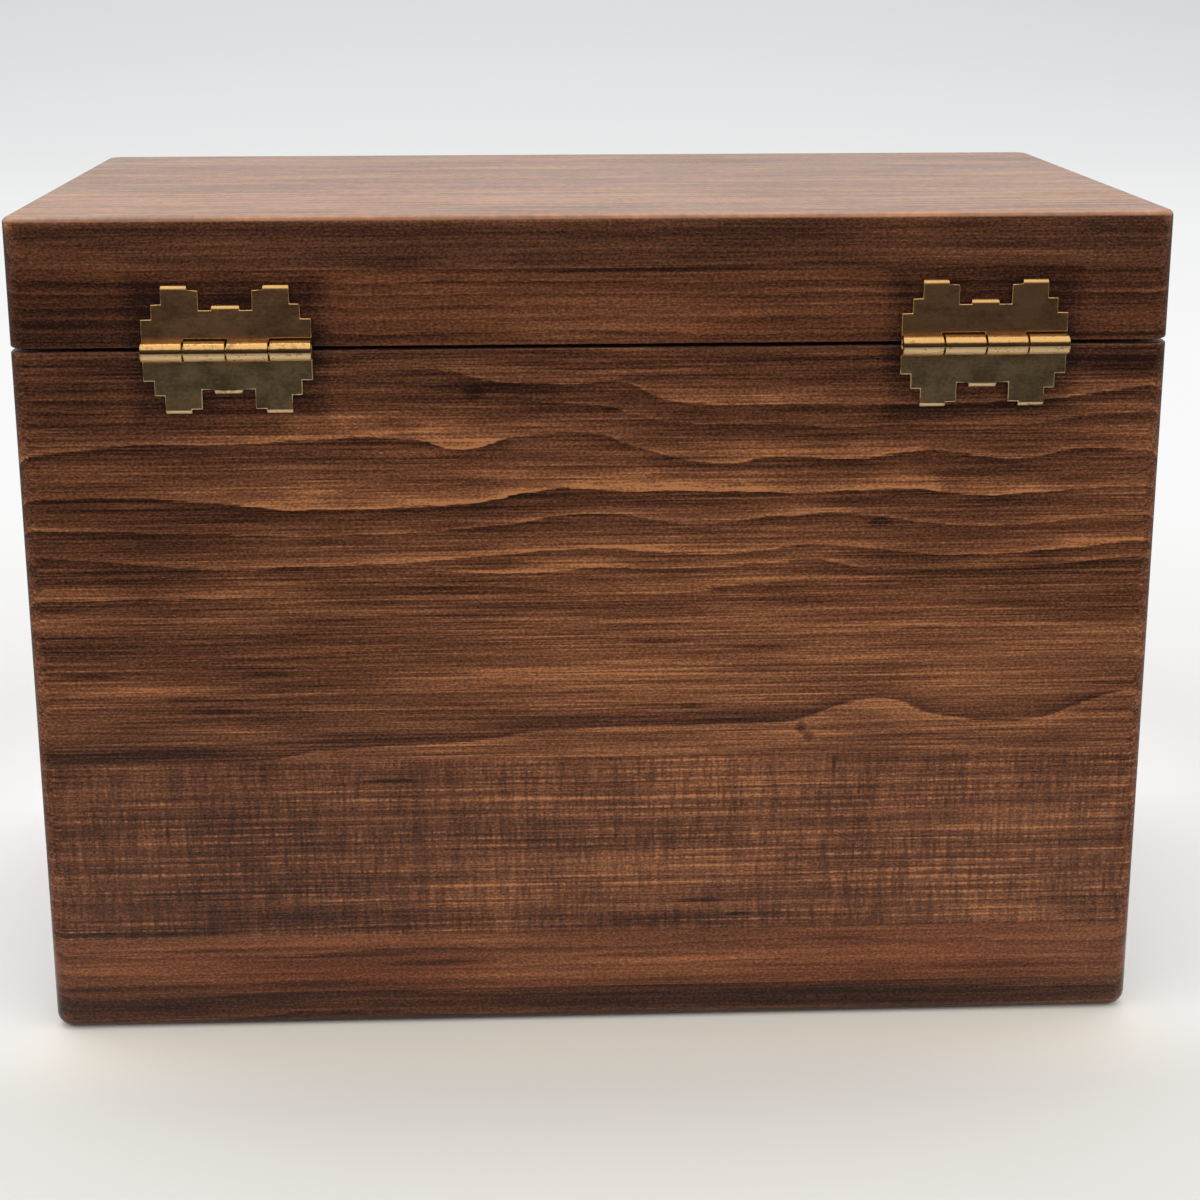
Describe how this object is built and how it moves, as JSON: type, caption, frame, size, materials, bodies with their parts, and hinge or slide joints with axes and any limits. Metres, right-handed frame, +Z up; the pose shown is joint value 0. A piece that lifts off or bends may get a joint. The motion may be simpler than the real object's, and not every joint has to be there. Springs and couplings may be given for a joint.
{
  "type": "recipe card box",
  "caption": "Upright glued-up wooden box for recipe cards, with a lid that swings back on stamped brass butt hinges whose prongs are driven into the back.",
  "frame": {"origin": "middle of the bottom face of the bottom board", "axes": "+Z up, +X along the width to the right as seen from the front, the front faces -Y and the hinges are on the back at +Y"},
  "size_m": [0.173, 0.1055, 0.129],
  "materials": {
    "stained_pine": "walnut-stained pine under satin lacquer",
    "dark_stained_pine": "darker walnut-stained pine under satin lacquer",
    "aged_brass": "stamped sheet brass, browned with age",
    "bright_brass": "drawn brass wire"
  },
  "bodies": {
    "box": {"bottom_board": "dark_stained_pine", "front_lower_stave": "stained_pine", "front_middle_stave": "stained_pine", "front_upper_stave": "stained_pine", "back_lower_stave": "stained_pine", "back_middle_stave": "stained_pine", "back_upper_stave": "stained_pine", "left_lower_stave": "stained_pine", "left_middle_stave": "stained_pine", "left_upper_stave": "stained_pine", "right_lower_stave": "stained_pine", "right_middle_stave": "stained_pine", "right_upper_stave": "stained_pine", "left_hinge_body_leaf": "aged_brass", "left_hinge_pin": "bright_brass", "right_hinge_body_leaf": "aged_brass", "right_hinge_pin": "bright_brass"},
    "lid": {"lid_top_board": "stained_pine", "lid_front_rail": "dark_stained_pine", "lid_back_rail": "dark_stained_pine", "lid_left_rail": "dark_stained_pine", "lid_right_rail": "dark_stained_pine", "left_hinge_lid_leaf": "aged_brass", "right_hinge_lid_leaf": "aged_brass"}
  },
  "joints": [
    {"name": "lid_hinge", "type": "hinge", "parent": "box", "child": "lid", "pos_m": [0, 0.05285, 0.1096], "axis": [-1, 0, 0], "range_deg": [0, 180]}
  ]
}
